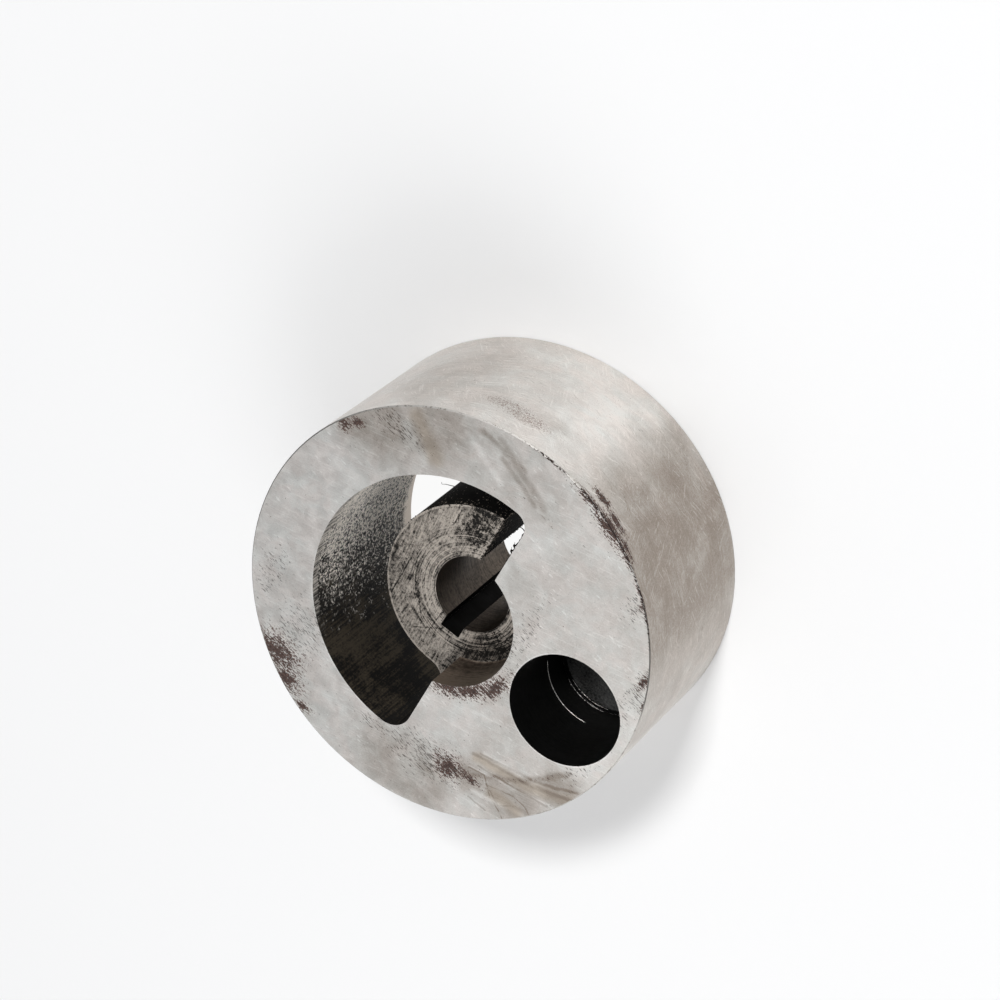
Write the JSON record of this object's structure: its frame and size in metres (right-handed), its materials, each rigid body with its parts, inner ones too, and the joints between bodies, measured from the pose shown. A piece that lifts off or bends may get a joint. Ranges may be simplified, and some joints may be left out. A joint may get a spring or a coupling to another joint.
{
  "type": "shaft coupling",
  "caption": "Steel drum coupling with a keyed, split hub recessed in a half-moon pocket and a blind off-centre hole for a drive pin.",
  "frame": {"origin": "centre of the rear face, on the drum's axis; the coupling stands on that face", "axes": "+Z along the drum's axis from the rear face to the front face, +X towards the half-moon pocket, -X towards the pin hole, +Y towards the keyway"},
  "size_m": [0.118, 0.118, 0.056],
  "materials": {
    "machined_steel": "bare machined steel, satin, with rust stains and oily dark milled walls"
  },
  "bodies": {
    "root": {"coupling_drum": "machined_steel"}
  },
  "joints": []
}
